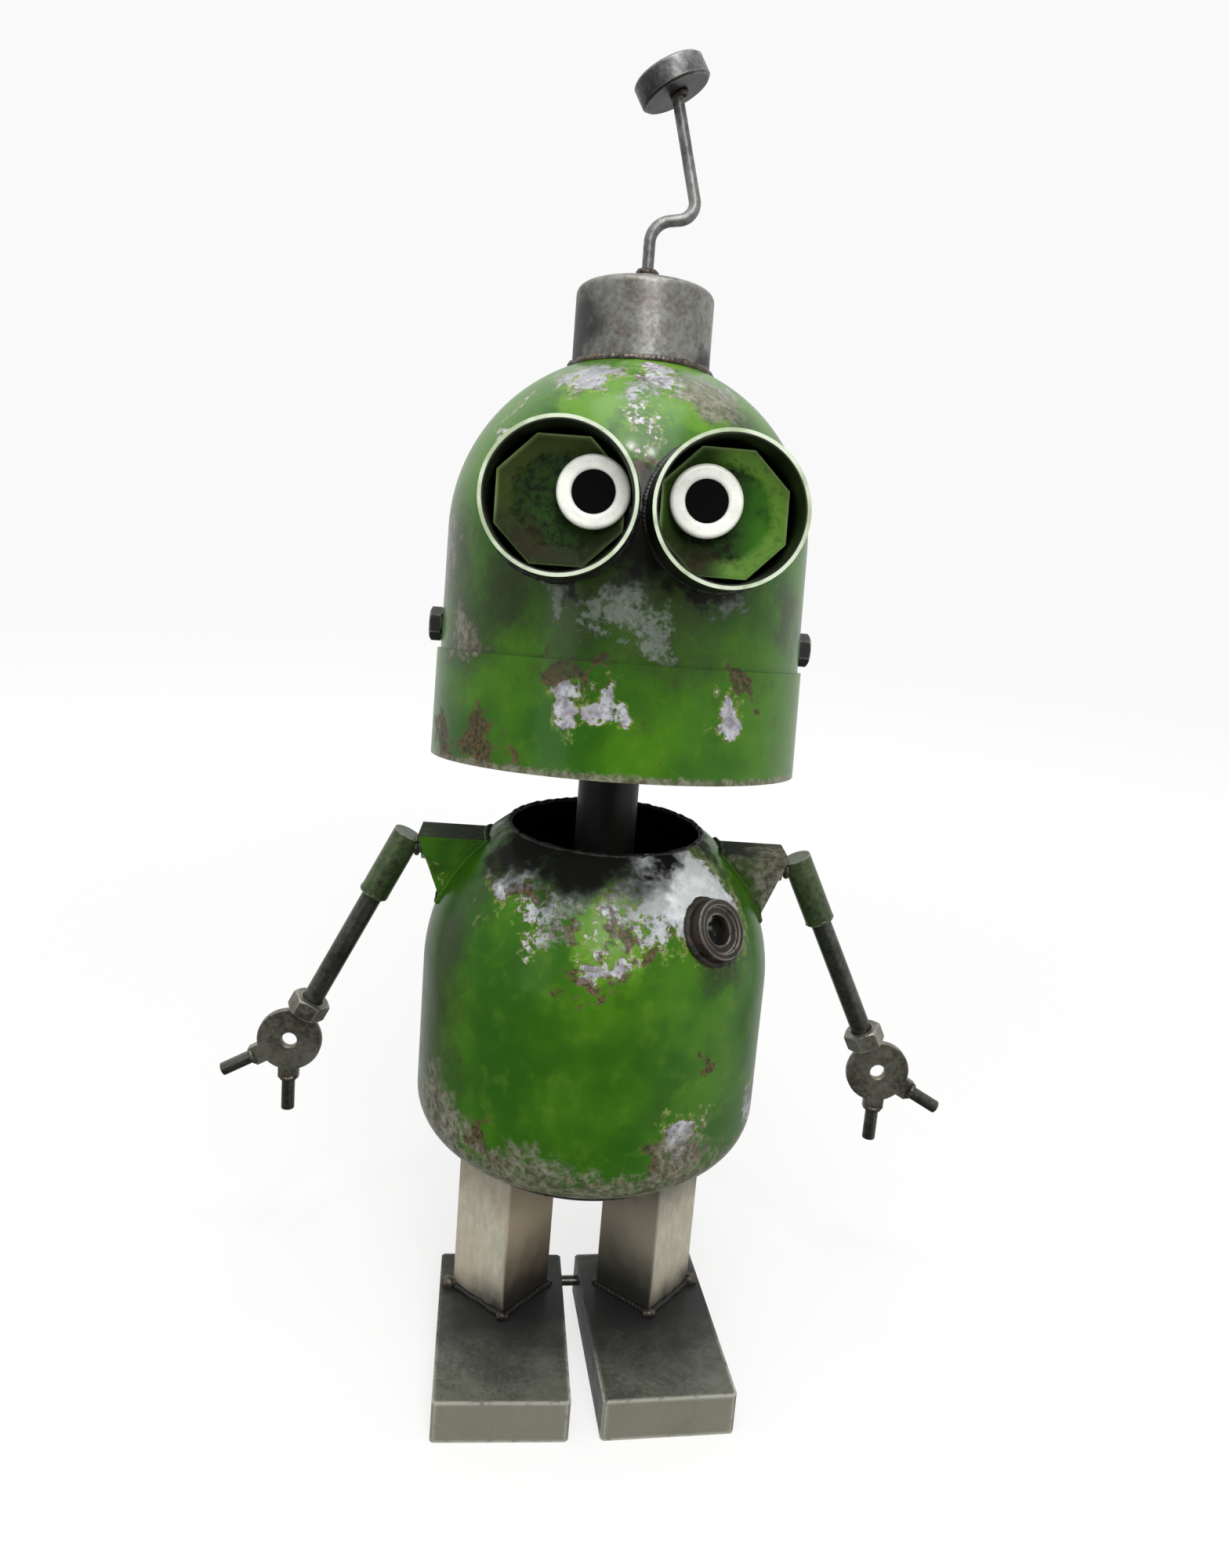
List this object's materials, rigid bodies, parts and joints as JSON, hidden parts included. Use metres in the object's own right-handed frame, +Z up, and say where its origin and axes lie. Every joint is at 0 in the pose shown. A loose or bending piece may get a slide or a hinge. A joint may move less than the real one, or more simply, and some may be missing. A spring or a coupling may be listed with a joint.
{
  "type": "wind-up robot figure",
  "caption": "Standing robot figure in weathered green sheet metal with tube eyes, a bent antenna, swinging rod arms and a clockwork movement that turns its head.",
  "frame": {"origin": "the point on the floor under the neck's turning axis, between the feet", "axes": "+Z up along the neck's turning axis, the robot faces -Y, +X is on the right as seen from the front"},
  "size_m": [0.2132, 0.1336, 0.3628],
  "materials": {
    "green_paint": "glossy green enamel, worn and rusted through at edges and welds",
    "bare_steel": "dull mild steel with brown heat tint under clear varnish",
    "dark_steel": "dark mill-scale steel, paler at the edges",
    "zinc_hardware": "dulled zinc plate",
    "brass": "stamped and turned brass",
    "spring_steel": "blued spring steel",
    "white_ring": "gloss white",
    "black_pupil": "satin black"
  },
  "bodies": {
    "torso": {"torso_shell": "green_paint", "chest_boss": "bare_steel", "shoulder_bracket_left": "green_paint", "shoulder_bracket_right": "green_paint", "torso_base_plate": "dark_steel", "base_screws": "zinc_hardware", "leg_left": "bare_steel", "leg_right": "bare_steel", "foot_left": "dark_steel", "foot_right": "dark_steel", "ankle_tie_rod": "dark_steel", "motor_front_plate": "brass", "motor_rear_plate": "brass", "motor_pillars": "zinc_hardware", "pillar_nuts": "zinc_hardware", "neck_bridge": "brass", "bridge_screws": "zinc_hardware", "neck_bush": "brass", "key_bush": "brass", "clutch_spring": "spring_steel"},
    "neck": {"neck_tube": "dark_steel", "neck_spindle": "spring_steel", "contrate_wheel": "brass", "neck_yoke": "dark_steel"},
    "head": {"head_dome": "green_paint", "head_band": "green_paint", "top_cap": "bare_steel", "antenna_nut": "zinc_hardware", "antenna_wire": "bare_steel", "antenna_disc": "dark_steel", "eye_tube_left": "bare_steel", "eye_tube_right": "bare_steel", "eye_dish_left": "green_paint", "eye_dish_right": "green_paint", "eye_ring_left": "white_ring", "eye_ring_right": "white_ring", "eye_pupil_left": "black_pupil", "eye_pupil_right": "black_pupil", "head_bolts": "zinc_hardware", "head_nuts": "zinc_hardware"},
    "left_arm": {"shoulder_pin_left": "bare_steel", "arm_sleeve_left": "bare_steel", "arm_rod_left": "bare_steel"},
    "right_arm": {"shoulder_pin_right": "bare_steel", "arm_sleeve_right": "bare_steel", "arm_rod_right": "bare_steel"},
    "left_hand": {"wrist_nut_left": "zinc_hardware", "hand_disc_left": "bare_steel", "hand_fingers_left": "bare_steel"},
    "right_hand": {"wrist_nut_right": "zinc_hardware", "hand_disc_right": "bare_steel", "hand_fingers_right": "bare_steel"},
    "key": {"winding_key": "brass", "winding_arbor": "spring_steel"},
    "barrel": {"spring_barrel": "brass", "mainspring": "spring_steel"},
    "second_wheel": {"second_arbor": "brass"},
    "governor": {"governor_fly": "spring_steel"}
  },
  "joints": [
    {"name": "head_turn", "type": "hinge", "parent": "torso", "child": "neck", "pos_m": [0, 0, 0.133], "axis": [0, 0, 1], "continuous": true},
    {"name": "head_nod", "type": "hinge", "parent": "neck", "child": "head", "pos_m": [0, 0, 0.2084], "axis": [1, 0, 0], "range_deg": [-12, 12]},
    {"name": "shoulder_left", "type": "hinge", "parent": "torso", "child": "left_arm", "pos_m": [-0.057, 0, 0.145], "axis": [-1, 0, 0], "continuous": true},
    {"name": "shoulder_right", "type": "hinge", "parent": "torso", "child": "right_arm", "pos_m": [0.057, 0, 0.145], "axis": [-1, 0, 0], "continuous": true},
    {"name": "wrist_left", "type": "hinge", "parent": "left_arm", "child": "left_hand", "pos_m": [-0.08111, 0, 0.09557], "axis": [-0.4384, 0, -0.8988], "range_deg": [-90, 90]},
    {"name": "wrist_right", "type": "hinge", "parent": "right_arm", "child": "right_hand", "pos_m": [0.08111, 0, 0.09557], "axis": [0.4384, 0, -0.8988], "range_deg": [-90, 90]},
    {"name": "key_wind", "type": "hinge", "parent": "torso", "child": "key", "pos_m": [0, 0.05, 0.088], "axis": [0, 1, 0], "continuous": true},
    {"name": "barrel_spin", "type": "hinge", "parent": "torso", "child": "barrel", "pos_m": [0, 0, 0.088], "axis": [0, 1, 0], "continuous": true},
    {"name": "second_spin", "type": "hinge", "parent": "torso", "child": "second_wheel", "pos_m": [0, 0, 0.112], "axis": [0, 1, 0], "continuous": true},
    {"name": "governor_spin", "type": "hinge", "parent": "torso", "child": "governor", "pos_m": [0.01575, 0, 0.112], "axis": [0, 1, 0], "continuous": true}
  ],
  "couplings": [
    {"joint": "barrel_spin", "follows": "head_turn", "ratio": 0.5},
    {"joint": "second_spin", "follows": "head_turn", "ratio": -2},
    {"joint": "governor_spin", "follows": "head_turn", "ratio": 8}
  ]
}
